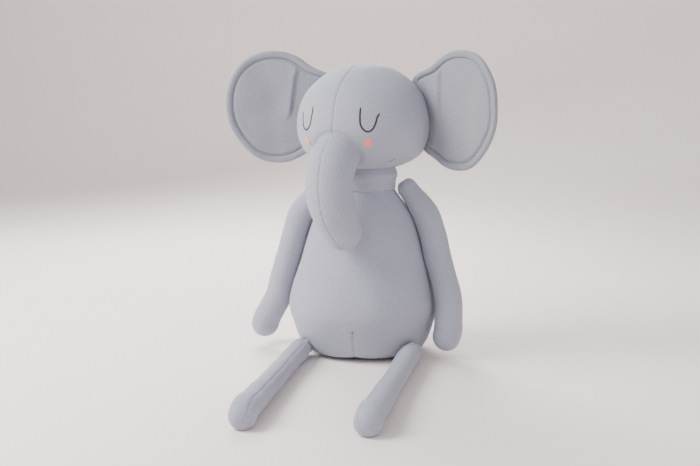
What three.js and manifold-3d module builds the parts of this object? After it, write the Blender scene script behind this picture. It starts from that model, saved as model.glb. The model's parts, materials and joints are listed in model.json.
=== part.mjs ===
// A sitting stuffed elephant in knitted fabric: pear-shaped torso, neck band, round head with a curled
// trunk and two flat ears, two long arms and two long legs.
// Millimetres, +Z up, facing -Y, its own left at +X. The origin is the middle of the flat underside.
// Every cover is a thin shell over a separate filling. Arms, legs, trunk and head turn on round
// stuffed roots, so each root is a ball in a round socket with a clearance all round.

import * as THREE from 'three';
import { mergeVertices } from 'three/addons/utils/BufferGeometryUtils.js';
import Module from 'manifold-3d';

const wasm = await Module();
wasm.setup();

// Fabric, thread and clearances
const COVER = 2;
const THREAD = 1.2;
const THREAD_LIFT = 0.7;
const SEAM_GAP = 0.6;
const FILL_GAP = 1.2;
const SOCKET_GAP = 1;

// Torso outline, as landmark radii and heights
const SEAT_RADIUS = 66;
const HIP_RADIUS = 104;
const HIP_HEIGHT = 18;
const BELLY_RADIUS = 120;
const BELLY_HEIGHT = 83;
const WAIST_RADIUS = 101;
const WAIST_HEIGHT = 152;
const CHEST_RADIUS = 81;
const CHEST_HEIGHT = 214;
const TORSO_DEPTH = 0.94;
const TORSO_LEAN = 8;
const UNDERSIDE_FULLNESS = 6;
const SIDE_SEAM_AT_SEAT = 26;
const DART_HEIGHT = 56;

// Neck ball, which the head nods on
const NECK_HEIGHT = 277;
const NECK_RADIUS = 52;
const NECK_BAND = 28;
const NECK_TUCK = 20;

// Head, measured up from the middle of the neck, and turned to the elephant's right
const HEAD_TURN = -16.5;
const HEAD_RADIUS = 107;
const CHEEK_HEIGHT = 82;
const JOWL_RADIUS = 96;
const JOWL_HEIGHT = 43;
const CHIN_IN = 20;
const CHIN_DOWN = 4;
const BROW_RADIUS = 92;
const BROW_HEIGHT = 134;
const TOP_RADIUS = 46;
const TOP_HEIGHT = 171;
const CROWN_HEIGHT = 178;
const FACE_DEPTH = 1.06;
const NAPE_DEPTH = 0.95;
const EAR_SEAM = 20;

// Trunk, sewn to the front of the face
const TRUNK_FORWARD = 96;
const TRUNK_HEIGHT = 42;
const TRUNK_LENGTH = 160;
const TRUNK_ROOT_RADIUS = 37;
const TRUNK_MIDDLE_RADIUS = 37;
const TRUNK_TIP_RADIUS = 31;
const TRUNK_START_ANGLE = 18;
const TRUNK_CURL = 98;
const TRUNK_SWAY = 24;

// Ears
const EAR_WIDTH = 156;
const EAR_HEIGHT = 182;
const EAR_THICKNESS = 12;
const EAR_CENTRE_HEIGHT = 106;
const EAR_ROOT_RADIUS = 101;
const EAR_TUCK = 15;
const EAR_ANGLE = 17;
const EAR_CUP = 22;
const EAR_ROOT_GAP = 6;
const EAR_STITCH_INSET = 11.5;
const EAR_STITCH_END = 140;
const EAR_SQUARENESS = 2.2;
const EAR_FLAT = 0.6;
const EAR_BEVEL = 0.88;
const EAR_BEVEL_DROP = 1.2;
const EAR_RIM = 1.3;
const EAR_RIM_INSIDE = 0.94;
const EAR_BEVEL_INSIDE = 0.86;
const EAR_WADDING_REACH = 0.85;
const EAR_WADDING_EDGE = 0.4;

// Face stitching and cheek dots, placed by their angle from the front of the face
const EYE_ANGLE = 30.5;
const EYE_HEIGHT = 97;
const EYE_STITCH = [[-13, 17], [-14, 2], [-12, -11], [-4, -19], [5, -16], [10.5, -5], [12.5, 2], [17, 8]];
const DOT_ANGLE = 30;
const DOT_HEIGHT = 60;
const DOT_RADIUS = 7;
const DOT_THICKNESS = 1;
const SMILE_ANGLE = 57;
const SMILE_HEIGHT = 30;
const SMILE_LENGTH = 8;

// Every limb swells from its root to its full thickness over its first few centimetres
const ROOT_SWELL = 1.5;
const SWELL_START = 14;
const SWELL_MIDDLE = 30;
const SWELL_END = 58;
const SEAM_START = 46;

// Arms
const ARM_LENGTH = 270;
const ARM_ROOT_RADIUS = 11;
const ARM_RADIUS = 22.5;
const HAND_RADIUS = 23.5;
const ARM_REST_GAP = 0.8;
const ARM_STEP = 22;
const HAND_FORWARD_POWER = 1.5;
const SHOULDER_OUT = 20;
const SHOULDER_DROP = 4;
const SHOULDER_DIMPLE = 15;
const LEFT_HAND = { flare: -2, forward: 58 };
const RIGHT_HAND = { flare: 27, forward: 0 };

// Legs
const LEG_LENGTH = 368;
const LEG_ROOT_RADIUS = 10;
const LEG_RADIUS = 17.5;
const FOOT_RADIUS = 20.5;
const LEG_ANGLE = 51;
const LEG_ROOT_HEIGHT = 17;
const HIP_OUT = 9;
const HIP_DIMPLE = 17;
const LEFT_FOOT_SPLAY = -2.5;
const RIGHT_FOOT_SPLAY = 0.5;

// How finely the covers are faceted
const LIMB_SIDES = 10;
const TRUNK_SIDES = 14;
const BODY_SIDES = 24;
const EAR_SIDES = 24;
const ROOT_SIDES = 10;
const DIMPLE_SIDES = 12;
const TRUNK_SOCKET_SIDES = 20;
const THREAD_SIDES = 5;
const THREAD_STEP = 4.5;
const OUTLINE_STEPS = 13;
const SLEEVE_STEPS = 8;
const LEG_STEPS = 12;
const TRUNK_STEPS = 14;
const BAND_STEPS = 6;
const STITCH_STEP = 14;
const DEGREE = Math.PI / 180;

const GREY = { color: 0xa9abb8, roughness: 0.95, metalness: 0 };
const EAR_GREY = { color: 0xa1a1ad, roughness: 0.95, metalness: 0 };
const WHITE_FILL = { color: 0xf2f0ea, roughness: 1, metalness: 0 };
const DARK_THREAD = { color: 0x16161a, roughness: 0.6, metalness: 0 };
const GREY_THREAD = { color: 0x8f919f, roughness: 0.7, metalness: 0 };
const CORAL = { color: 0xe8968a, roughness: 0.9, metalness: 0 };

const group = new THREE.Group();

// ---------------------------------------------------------------- solids

function signedVolume(geometry) {
  const position = geometry.attributes.position;
  const index = geometry.index.array;
  const corners = [new THREE.Vector3(), new THREE.Vector3(), new THREE.Vector3()];
  let volume = 0;
  for (let i = 0; i < index.length; i += 3) {
    corners.forEach((corner, k) => corner.fromBufferAttribute(position, index[i + k]));
    volume += corners[0].dot(corners[1].cross(corners[2])) / 6;
  }
  return volume;
}

// One closed body: shared corners merged, empty triangles dropped, faces pointing out.
function closed(source) {
  const bare = source.clone();
  bare.deleteAttribute('normal');
  bare.deleteAttribute('uv');
  const merged = mergeVertices(bare, 1e-4);
  const index = [];
  for (let i = 0; i < merged.index.count; i += 3) {
    const [a, b, c] = [0, 1, 2].map((k) => merged.index.getX(i + k));
    if (a !== b && b !== c && c !== a) index.push(a, b, c);
  }
  merged.setIndex(index);
  if (signedVolume(merged) < 0) {
    merged.setIndex(index.map((_, i) => index[3 * Math.floor(i / 3) + (2 - (i % 3))]));
  }
  return merged;
}

function toManifold(geometry) {
  const source = closed(geometry);
  return new wasm.Manifold(new wasm.Mesh({
    numProp: 3,
    vertProperties: new Float32Array(source.attributes.position.array),
    triVerts: new Uint32Array(source.index.array),
  }));
}

function fromManifold(solid) {
  const mesh = solid.getMesh();
  const geometry = new THREE.BufferGeometry();
  geometry.setAttribute('position', new THREE.BufferAttribute(mesh.vertProperties, 3));
  geometry.setIndex(new THREE.BufferAttribute(mesh.triVerts, 1));
  return geometry;
}

function without(geometry, ...tools) {
  const rest = tools.reduce((solid, tool) => solid.subtract(toManifold(tool)), toManifold(geometry));
  return fromManifold(rest);
}

function within(geometry, ...tools) {
  const rest = tools.reduce((solid, tool) => solid.intersect(toManifold(tool)), toManifold(geometry));
  return fromManifold(rest);
}

function moveVertices(geometry, move) {
  const position = geometry.attributes.position;
  const point = new THREE.Vector3();
  for (let i = 0; i < position.count; i += 1) {
    point.fromBufferAttribute(position, i);
    move(point);
    position.setXYZ(i, point.x, point.y, point.z);
  }
  return geometry;
}

function ball(radius, centre, sides) {
  const sphere = new THREE.SphereGeometry(radius, sides, sides / 2);
  return sphere.rotateX(90 * DEGREE).translate(...centre.toArray());
}

// A ball whose flats, not its corners, are at the radius plus the clearance of a socket.
function socket(radius, centre, sides) {
  const flats = Math.cos(Math.PI / sides) ** 2;
  return ball((radius + SOCKET_GAP) / flats, centre, sides);
}

// A block much larger than the toy that ends in the plane at right angles to the direction.
function halfSpace(direction, through) {
  const size = 2000;
  const block = new THREE.BoxGeometry(size, size, size).translate(0, 0, size / 2);
  const turn = new THREE.Quaternion().setFromUnitVectors(new THREE.Vector3(0, 0, 1), direction);
  return block.applyQuaternion(turn).translate(...through.toArray());
}

// An outline is a list of (radius, height) points that is turned about the Z axis.
function revolve(outline, sides) {
  return new THREE.LatheGeometry(outline, sides).rotateX(90 * DEGREE);
}

function smoothOutline(landmarks, count) {
  const points = landmarks.map(([radius, height]) => new THREE.Vector2(radius, height));
  return new THREE.SplineCurve(points).getSpacedPoints(count);
}

// The same outline moved inwards; it runs anticlockwise seen with the axis on the left.
function inset(outline, depth) {
  return outline.map((point, i) => {
    const before = outline[Math.max(i - 1, 0)];
    const after = outline[Math.min(i + 1, outline.length - 1)];
    const along = after.clone().sub(before).normalize();
    const moved = new THREE.Vector2(point.x - along.y * depth, point.y + along.x * depth);
    if (point.x < 1e-6) moved.x = 0;
    return moved;
  });
}

// A cover's section: the outline and its inner face, from the axis round to the axis.
function coverSection(outline) {
  const inner = inset(outline, COVER).reverse();
  return outline[0].x === 0 ? [...outline, ...inner] : [...inner, ...outline];
}

function radiusAt(outline, height) {
  for (let i = 1; i < outline.length; i += 1) {
    const [low, high] = [outline[i - 1], outline[i]];
    if (height <= high.y && high.y > low.y) {
      return THREE.MathUtils.mapLinear(height, low.y, high.y, low.x, high.x);
    }
  }
  return outline[outline.length - 1].x;
}

// The stretch of an outline between two heights.
function stretch(outline, from, to) {
  const between = outline.filter((point) => point.y > from + 1 && point.y < to - 1);
  const [first, last] = [from, to].map((height) => new THREE.Vector2(radiusAt(outline, height), height));
  return [first, ...between, last];
}

function thread(points) {
  const path = new THREE.CatmullRomCurve3(points);
  const corners = Array.from({ length: THREAD_SIDES }, (_, i) => i / THREAD_SIDES * 360 * DEGREE);
  const section = corners.map((a) => new THREE.Vector2(THREAD / 2 * Math.cos(a), THREAD / 2 * Math.sin(a)));
  return new THREE.ExtrudeGeometry(new THREE.Shape(section), {
    steps: Math.ceil(path.getLength() / THREAD_STEP),
    bevelEnabled: false,
    extrudePath: path,
  });
}

function add(parent, name, geometry, look) {
  const mesh = new THREE.Mesh(closed(geometry), new THREE.MeshStandardMaterial(look));
  mesh.name = name;
  parent.add(mesh);
}

// ---------------------------------------------------------------- shared outlines

const X = new THREE.Vector3(1, 0, 0);
const Y = new THREE.Vector3(0, 1, 0);
const Z = new THREE.Vector3(0, 0, 1);
const ORIGIN = new THREE.Vector3();

const fillDepth = COVER + FILL_GAP;
const threadDepth = -(THREAD / 2 + THREAD_LIFT);
const socketRadius = NECK_RADIUS + SOCKET_GAP;
const torsoTop = NECK_HEIGHT - NECK_BAND / 2 - SOCKET_GAP;
const neckRimRadius = Math.sqrt(NECK_RADIUS ** 2 - (NECK_BAND / 2) ** 2);
const headRimHeight = NECK_BAND / 2 + SOCKET_GAP;
const headRimRadius = Math.sqrt(socketRadius ** 2 - headRimHeight ** 2) + COVER;

const torsoOutline = [new THREE.Vector2(0, 0), ...smoothOutline([
  [SEAT_RADIUS, 0],
  [(SEAT_RADIUS + HIP_RADIUS) / 2 + UNDERSIDE_FULLNESS, HIP_HEIGHT / 4],
  [HIP_RADIUS, HIP_HEIGHT],
  [BELLY_RADIUS - UNDERSIDE_FULLNESS, BELLY_HEIGHT / 2 + HIP_HEIGHT / 4],
  [BELLY_RADIUS, BELLY_HEIGHT],
  [WAIST_RADIUS, WAIST_HEIGHT],
  [CHEST_RADIUS, CHEST_HEIGHT],
  [neckRimRadius, torsoTop],
], OUTLINE_STEPS)];

const headOutline = smoothOutline([
  [headRimRadius, headRimHeight],
  [JOWL_RADIUS - CHIN_IN, (headRimHeight + JOWL_HEIGHT) / 2 - CHIN_DOWN],
  [JOWL_RADIUS, JOWL_HEIGHT],
  [HEAD_RADIUS, CHEEK_HEIGHT],
  [BROW_RADIUS, BROW_HEIGHT],
  [TOP_RADIUS, TOP_HEIGHT],
  [0, CROWN_HEIGHT],
], OUTLINE_STEPS);
headOutline[headOutline.length - 1].x = 0;

// The torso is a little shallower than it is wide, and leans back towards the neck.
function shapeTorso(point) {
  point.y = point.y * TORSO_DEPTH + TORSO_LEAN * (Math.max(point.z, 0) / NECK_HEIGHT) ** 2;
}

// The head is deeper at the face than at the nape, but round where it meets the neck.
function shapeHead(point) {
  const spread = THREE.MathUtils.smoothstep(point.z, headRimHeight, JOWL_HEIGHT);
  point.y *= 1 + (point.y < 0 ? FACE_DEPTH - 1 : NAPE_DEPTH - 1) * spread;
}

function torsoSolid(depth) {
  const outline = inset(torsoOutline, depth);
  outline[0].x = 0;
  const top = outline[outline.length - 1].y;
  return moveVertices(revolve([...outline, new THREE.Vector2(0, top)], BODY_SIDES), shapeTorso);
}

function headSolid(depth) {
  const outline = inset(headOutline, depth);
  const bottom = outline[0].y;
  return moveVertices(revolve([new THREE.Vector2(0, bottom), ...outline], BODY_SIDES), shapeHead);
}

// ---------------------------------------------------------------- limbs

// A limb is a straight solid of revolution, from a ball root at zero to a round end, bent along a route.
function limbOutline({ root, middle, end, length }) {
  const points = [130, 110].map((angle) => (
    new THREE.Vector2(root * Math.sin(angle * DEGREE), root * Math.cos(angle * DEGREE))
  ));
  points.push(...smoothOutline([
    [root, 0],
    [root + ROOT_SWELL, SWELL_START],
    [(root + middle) / 2 + ROOT_SWELL, SWELL_MIDDLE],
    [middle, SWELL_END],
    [middle, length / 2],
    [end, length - end],
  ], SLEEVE_STEPS));
  for (let angle = 30; angle < 90; angle += 30) {
    const rise = end * Math.sin(angle * DEGREE);
    points.push(new THREE.Vector2(end * Math.cos(angle * DEGREE), length - end + rise));
  }
  points.push(new THREE.Vector2(0, length));
  return points;
}

// The part of a limb's outline between its root and its round end.
function sleeve(outline) {
  return outline.slice(2, -3);
}

function fillingOutline(outline, start) {
  const inner = inset(outline, fillDepth).filter((point) => point.y > start);
  return [new THREE.Vector2(0, inner[0].y), ...inner];
}

// A route is a curve with a steady reference direction, so that nothing twists along it.
function route(points, reference) {
  return { curve: new THREE.CatmullRomCurve3(points), reference };
}

// Places a point that lies (side, up) off the centre line at a distance along it.
function placeOn({ curve, reference }, along, side, up) {
  const reach = curve.getLength();
  const t = THREE.MathUtils.clamp(along / reach, 0, 1);
  const tangent = curve.getTangentAt(t);
  const across = new THREE.Vector3().crossVectors(reference, tangent).normalize();
  const over = new THREE.Vector3().crossVectors(tangent, across);
  return curve.getPointAt(t)
    .addScaledVector(tangent, along - t * reach)
    .addScaledVector(across, side)
    .addScaledVector(over, up);
}

function bend(geometry, path) {
  return moveVertices(geometry, (point) => point.copy(placeOn(path, point.z, point.x, point.y)));
}

function seamThread(outline, path, angle, from, to) {
  const raised = stretch(inset(outline, threadDepth), from, to);
  return thread(raised.map((point) => (
    placeOn(path, point.y, point.x * Math.cos(angle * DEGREE), point.x * Math.sin(angle * DEGREE))
  )));
}

// A limb of four pieces: the gathered root, tied off and sewn into the torso seam, the cover, its seam
// and its filling.
function addLimb(name, sizes, path, seamAngle) {
  const outline = limbOutline(sizes);
  const knot = sizes.root - COVER - SOCKET_GAP;
  add(group, `${name}_root`, ball(knot, placeOn(path, 0, 0, 0), ROOT_SIDES), GREY);
  add(group, `${name}_cover`, bend(revolve(coverSection(outline), LIMB_SIDES), path), GREY);
  const filling = revolve(fillingOutline(outline, knot + SOCKET_GAP), LIMB_SIDES);
  add(group, `${name}_filling`, bend(filling, path), WHITE_FILL);
  const seam = seamThread(outline, path, seamAngle, SEAM_START, sizes.length - sizes.end);
  add(group, `${name}_seam`, seam, GREY_THREAD);
}

// ---------------------------------------------------------------- arms and legs

const shoulder = new THREE.Vector3(neckRimRadius + SHOULDER_OUT, TORSO_LEAN, torsoTop - SHOULDER_DROP);
const armSizes = { root: ARM_ROOT_RADIUS, middle: ARM_RADIUS, end: HAND_RADIUS, length: ARM_LENGTH };
const armOutline = limbOutline(armSizes);

// An arm hangs down the flank, touching it lightly, and below the belly it goes straight on.
function armRoute(side, hand) {
  const points = [shoulder.clone()];
  let travelled = 0;
  while (travelled < ARM_LENGTH - HAND_RADIUS) {
    const last = points[points.length - 1];
    const reached = travelled + ARM_STEP;
    const height = Math.max(last.z - ARM_STEP, HAND_RADIUS + ARM_REST_GAP);
    const below = Math.max(BELLY_HEIGHT - height, 0) * Math.tan(hand.flare * DEGREE);
    const beside = Math.max(height, BELLY_HEIGHT);
    const flank = Math.max(radiusAt(torsoOutline, beside), shoulder.x);
    const slope = (flank - radiusAt(torsoOutline, beside + ARM_STEP)) / ARM_STEP;
    const square = radiusAt(sleeve(armOutline), reached) + ARM_REST_GAP;
    const stand = square * Math.hypot(1, Math.max(slope, 0));
    const forward = hand.forward * Math.min(reached / ARM_LENGTH, 1) ** HAND_FORWARD_POWER;
    const out = height < last.z ? flank + stand + below : last.x + ARM_STEP;
    const next = new THREE.Vector3(out, TORSO_LEAN - forward, height);
    travelled += next.distanceTo(last);
    points.push(next);
  }
  points.forEach((point) => point.setX(point.x * side));
  return route(points, Y);
}

const legSizes = { root: LEG_ROOT_RADIUS, middle: LEG_RADIUS, end: FOOT_RADIUS, length: LEG_LENGTH };
const legOutline = limbOutline(legSizes);

// A leg lies on the seat, straight out in front.
function legRoute(side, splay) {
  const reach = radiusAt(torsoOutline, LEG_ROOT_HEIGHT) + HIP_OUT;
  const hip = new THREE.Vector3(Math.sin(LEG_ANGLE * DEGREE), -Math.cos(LEG_ANGLE * DEGREE), 0);
  shapeTorso(hip.multiplyScalar(reach));
  const points = [];
  for (let i = 0; i <= LEG_STEPS; i += 1) {
    const along = LEG_LENGTH * i / LEG_STEPS;
    const radius = radiusAt(sleeve(legOutline), along);
    const height = Math.max(radius + THREAD_LIFT, along === 0 ? LEG_ROOT_HEIGHT : 0);
    const out = hip.x + along * Math.sin(splay * DEGREE);
    points.push(new THREE.Vector3(side * out, hip.y - along * Math.cos(splay * DEGREE), height));
  }
  return route(points, Z);
}

const arms = {
  arm_left: armRoute(1, LEFT_HAND),
  arm_right: armRoute(-1, RIGHT_HAND),
};
const legs = {
  leg_left: legRoute(1, LEFT_FOOT_SPLAY),
  leg_right: legRoute(-1, RIGHT_FOOT_SPLAY),
};
addLimb('arm_left', armSizes, arms.arm_left, -90);
addLimb('arm_right', armSizes, arms.arm_right, -90);
addLimb('leg_left', legSizes, legs.leg_left, 125);
addLimb('leg_right', legSizes, legs.leg_right, 55);

// ---------------------------------------------------------------- torso

// Round dimples at the shoulders and hips, which the limb roots turn in.
const dimples = [
  ...Object.values(arms).map((path) => socket(SHOULDER_DIMPLE, placeOn(path, 0, 0, 0), DIMPLE_SIDES)),
  ...Object.values(legs).map((path) => socket(HIP_DIMPLE, placeOn(path, 0, 0, 0), DIMPLE_SIDES)),
];

// The side seams run from the sides of the neck down the flanks, and under the seat behind its middle.
const seamLean = Math.atan2(SIDE_SEAM_AT_SEAT - TORSO_LEAN, torsoTop);
const forwards = new THREE.Vector3(0, -Math.cos(seamLean), -Math.sin(seamLean));
const backwards = forwards.clone().negate();
const seamPoint = new THREE.Vector3(0, SIDE_SEAM_AT_SEAT, 0);
const gapForwards = forwards.clone().multiplyScalar(SEAM_GAP / 2).add(seamPoint);
const gapBackwards = backwards.clone().multiplyScalar(SEAM_GAP / 2).add(seamPoint);

const torsoCover = without(
  moveVertices(revolve(coverSection(torsoOutline), BODY_SIDES), shapeTorso),
  ...dimples,
);
add(group, 'torso_front', within(torsoCover, halfSpace(forwards, gapForwards)), GREY);
[['left', 1], ['right', -1]].forEach(([name, side]) => {
  const half = halfSpace(X.clone().multiplyScalar(side), X.clone().multiplyScalar(side * SEAM_GAP / 2));
  add(group, `torso_back_${name}`, within(torsoCover, halfSpace(backwards, gapBackwards), half), GREY);
});
add(group, 'torso_filling', without(torsoSolid(fillDepth), ...dimples), WHITE_FILL);

// A line of stitches up the middle of the torso, at the front or the back.
function torsoStitches(facing, from, to) {
  const raised = stretch(inset(torsoOutline, threadDepth), from, to);
  return thread(raised.map((point) => {
    const place = new THREE.Vector3(0, facing * point.x, point.y);
    shapeTorso(place);
    return place;
  }));
}
add(group, 'belly_dart_thread', torsoStitches(-1, HIP_HEIGHT / 2, DART_HEIGHT), GREY_THREAD);
add(group, 'back_closing_thread', torsoStitches(1, HIP_HEIGHT * 2, WAIST_HEIGHT), GREY_THREAD);

// ---------------------------------------------------------------- neck

// The neck and everything above it is turned a little to the toy's right.
const upper = new THREE.Group();
upper.position.set(0, TORSO_LEAN, NECK_HEIGHT);
upper.rotation.z = HEAD_TURN * DEGREE;
group.add(upper);

// The neck is a zone of a ball: its band shows between torso and head, and its top is tucked into the head.
function neckZone(radius, from, to) {
  const points = [];
  for (let i = 0; i <= BAND_STEPS; i += 1) {
    const height = THREE.MathUtils.lerp(from, to, i / BAND_STEPS);
    points.push(new THREE.Vector2(Math.sqrt(radius ** 2 - height ** 2), height));
  }
  return points;
}
const bandFrom = -NECK_BAND / 2;
const bandTo = NECK_BAND / 2 + NECK_TUCK;
const bandOutside = neckZone(NECK_RADIUS, bandFrom, bandTo);
const bandInside = neckZone(NECK_RADIUS - COVER, bandFrom, bandTo).reverse();
const bandSection = [...bandOutside, ...bandInside, bandOutside[0].clone()];
add(upper, 'neck_band', revolve(bandSection, BODY_SIDES), GREY);
const neckCore = neckZone(NECK_RADIUS - fillDepth, bandFrom, bandTo);
const neckFilling = [new THREE.Vector2(0, bandFrom), ...neckCore, new THREE.Vector2(0, bandTo)];
add(upper, 'neck_filling', revolve(neckFilling, BODY_SIDES), WHITE_FILL);

// ---------------------------------------------------------------- head

const trunkRoot = new THREE.Vector3(0, -TRUNK_FORWARD, TRUNK_HEIGHT);
const trunkSocket = socket(TRUNK_ROOT_RADIUS, trunkRoot, TRUNK_SOCKET_SIDES);
const neckSocket = socket(NECK_RADIUS, ORIGIN, BODY_SIDES);

const headCover = without(
  moveVertices(revolve(coverSection(headOutline), BODY_SIDES), shapeHead),
  trunkSocket,
);
const earSeam = new THREE.Vector3(0, EAR_SEAM, 0);
const faceHalf = halfSpace(Y.clone().negate(), earSeam.clone().setY(EAR_SEAM - SEAM_GAP / 2));
const napeHalf = halfSpace(Y, earSeam.clone().setY(EAR_SEAM + SEAM_GAP / 2));
[['left', 1], ['right', -1]].forEach(([name, side]) => {
  const half = halfSpace(X.clone().multiplyScalar(side), X.clone().multiplyScalar(side * SEAM_GAP / 2));
  add(upper, `face_${name}`, within(headCover, faceHalf, half), GREY);
});
add(upper, 'head_back', within(headCover, napeHalf), GREY);
add(upper, 'head_filling', without(headSolid(fillDepth), trunkSocket, neckSocket), WHITE_FILL);

// A place on the face, by angle from its middle and height, lifted off the surface.
function facePoint(angle, height, lift) {
  const reach = radiusAt(headOutline, height) + lift;
  const sideways = reach * Math.sin(angle * DEGREE);
  const place = new THREE.Vector3(sideways, -reach * Math.cos(angle * DEGREE), height);
  shapeHead(place);
  return place;
}

const seamFrom = TRUNK_HEIGHT + TRUNK_ROOT_RADIUS + 4 * THREAD;
const centreSeam = stretch(inset(headOutline, threadDepth), seamFrom, CROWN_HEIGHT)
  .map((point) => new THREE.Vector3(0, -point.x * FACE_DEPTH, point.y));
add(upper, 'face_seam_thread', thread(centreSeam), GREY_THREAD);

[['left', 1], ['right', -1]].forEach(([name, side]) => {
  const eye = EYE_STITCH.map(([out, up]) => {
    const angle = EYE_ANGLE + out / HEAD_RADIUS / DEGREE;
    return facePoint(side * angle, EYE_HEIGHT + up, -threadDepth);
  });
  add(upper, `eye_stitch_${name}`, thread(eye), DARK_THREAD);

  const centre = facePoint(side * DOT_ANGLE, DOT_HEIGHT, 0);
  const above = facePoint(side * DOT_ANGLE, DOT_HEIGHT + 2, 0).sub(centre);
  const beside = facePoint(side * DOT_ANGLE + 2, DOT_HEIGHT, 0).sub(centre);
  const outwards = new THREE.Vector3().crossVectors(beside, above).normalize();
  const turn = new THREE.Quaternion().setFromUnitVectors(Z, outwards);
  const dot = new THREE.CylinderGeometry(DOT_RADIUS, DOT_RADIUS, DOT_THICKNESS, 20).rotateX(90 * DEGREE);
  const lifted = centre.clone().addScaledVector(outwards, DOT_THICKNESS / 2 + THREAD_LIFT);
  add(upper, `cheek_dot_${name}`, dot.applyQuaternion(turn).translate(...lifted.toArray()), CORAL);

  const smile = [-1, 0, 1].map((step) => {
    const angle = SMILE_ANGLE + step * SMILE_LENGTH / 2 / JOWL_RADIUS / DEGREE;
    return facePoint(side * angle, SMILE_HEIGHT + step * SMILE_LENGTH / 4, -2 * threadDepth);
  });
  add(upper, `smile_stitch_${name}`, thread(smile), DARK_THREAD);
});

// ---------------------------------------------------------------- trunk

// The trunk leaves the face forwards, turns down, and its tip curls under towards the chest.
function trunkRoute() {
  const step = TRUNK_LENGTH / TRUNK_STEPS;
  const points = [trunkRoot.clone()];
  for (let i = 0; i < TRUNK_STEPS; i += 1) {
    const progress = (i + 0.5) / TRUNK_STEPS;
    const curled = THREE.MathUtils.smoothstep(progress, -0.25, 0.85);
    const droop = (TRUNK_START_ANGLE + TRUNK_CURL * curled) * DEGREE;
    const sway = TRUNK_SWAY * progress * DEGREE;
    const heading = new THREE.Vector3(0, -Math.cos(droop), -Math.sin(droop)).multiplyScalar(Math.cos(sway));
    heading.x = Math.sin(sway);
    points.push(points[i].clone().addScaledVector(heading, step));
  }
  return route(points, X);
}

const trunkPath = trunkRoute();
const trunkOutline = limbOutline({
  root: TRUNK_ROOT_RADIUS,
  middle: TRUNK_MIDDLE_RADIUS,
  end: TRUNK_TIP_RADIUS,
  length: TRUNK_LENGTH,
});
[['left', 1], ['right', -1]].forEach(([name, side]) => {
  const half = halfSpace(Y.clone().multiplyScalar(side), Y.clone().multiplyScalar(side * SEAM_GAP / 2));
  const panel = within(revolve(coverSection(trunkOutline), TRUNK_SIDES), half);
  add(upper, `trunk_${name}`, bend(panel, trunkPath), GREY);
});
const trunkFilling = revolve(fillingOutline(trunkOutline, -TRUNK_ROOT_RADIUS / 2), TRUNK_SIDES);
add(upper, 'trunk_filling', bend(trunkFilling, trunkPath), WHITE_FILL);
const trunkSeamEnd = TRUNK_LENGTH - TRUNK_TIP_RADIUS / 2;
const trunkSeam = seamThread(trunkOutline, trunkPath, 180, SEAM_START, trunkSeamEnd);
add(upper, 'trunk_seam_thread', trunkSeam, GREY_THREAD);

// ---------------------------------------------------------------- ears

const earHalfWidth = EAR_WIDTH / 2;
const earHalfHeight = EAR_HEIGHT / 2;

// The ear's outline is a rounded oval; reach is 1 at its rim and 0 in its middle.
function earRim(angle) {
  const wide = Math.abs(Math.cos(angle)) / earHalfWidth;
  const high = Math.abs(Math.sin(angle)) / earHalfHeight;
  return (wide ** EAR_SQUARENESS + high ** EAR_SQUARENESS) ** (-1 / EAR_SQUARENESS);
}

function placeOnEar(side, reach, angle, front) {
  const out = earHalfWidth - EAR_TUCK + reach * earRim(angle) * Math.cos(angle);
  const cup = EAR_CUP * (Math.max(out, 0) / EAR_WIDTH) ** 2;
  const place = new THREE.Vector3(out, -front - cup, reach * earRim(angle) * Math.sin(angle));
  place.applyAxisAngle(Z, -EAR_ANGLE * DEGREE);
  place.add(new THREE.Vector3(EAR_ROOT_RADIUS, EAR_SEAM, EAR_CENTRE_HEIGHT));
  return place.setX(place.x * side);
}

function earPiece(side, section) {
  const outline = section.map(([reach, front]) => new THREE.Vector2(reach, front));
  const piece = moveVertices(revolve(outline, EAR_SIDES), (point) => {
    point.copy(placeOnEar(side, Math.hypot(point.x, point.y), Math.atan2(point.y, point.x), point.z));
  });
  return without(piece, headSolid(-EAR_ROOT_GAP));
}

const earFace = EAR_THICKNESS / 2;
const earBack = earFace - COVER;
const earWadding = earBack - FILL_GAP;
const panelSection = [
  [0, earFace],
  [EAR_FLAT, earFace],
  [EAR_BEVEL, earFace - EAR_BEVEL_DROP],
  [1, EAR_RIM],
  [1, SEAM_GAP / 2],
  [EAR_RIM_INSIDE, SEAM_GAP / 2],
  [EAR_BEVEL_INSIDE, earBack - EAR_BEVEL_DROP],
  [EAR_FLAT, earBack],
  [0, earBack],
];
const waddingSection = [
  [0, earWadding],
  [EAR_FLAT, earWadding],
  [EAR_WADDING_REACH, EAR_WADDING_EDGE],
  [EAR_WADDING_REACH, -EAR_WADDING_EDGE],
  [EAR_FLAT, -earWadding],
  [0, -earWadding],
];

function earTopstitch(side) {
  const points = [];
  for (let angle = -EAR_STITCH_END; angle <= EAR_STITCH_END; angle += STITCH_STEP) {
    const reach = 1 - EAR_STITCH_INSET / earRim(angle * DEGREE);
    points.push(placeOnEar(side, reach, angle * DEGREE, earFace - threadDepth));
  }
  return thread(points, 1);
}

[['left', 1], ['right', -1]].forEach(([name, side]) => {
  const backSection = panelSection.map(([reach, front]) => [reach, -front]);
  add(upper, `ear_${name}_front`, earPiece(side, panelSection), EAR_GREY);
  add(upper, `ear_${name}_back`, earPiece(side, backSection), EAR_GREY);
  add(upper, `ear_${name}_wadding`, earPiece(side, waddingSection), WHITE_FILL);
  add(upper, `ear_${name}_topstitch`, earTopstitch(side), GREY_THREAD);
});

export default group;
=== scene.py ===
import math

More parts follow.
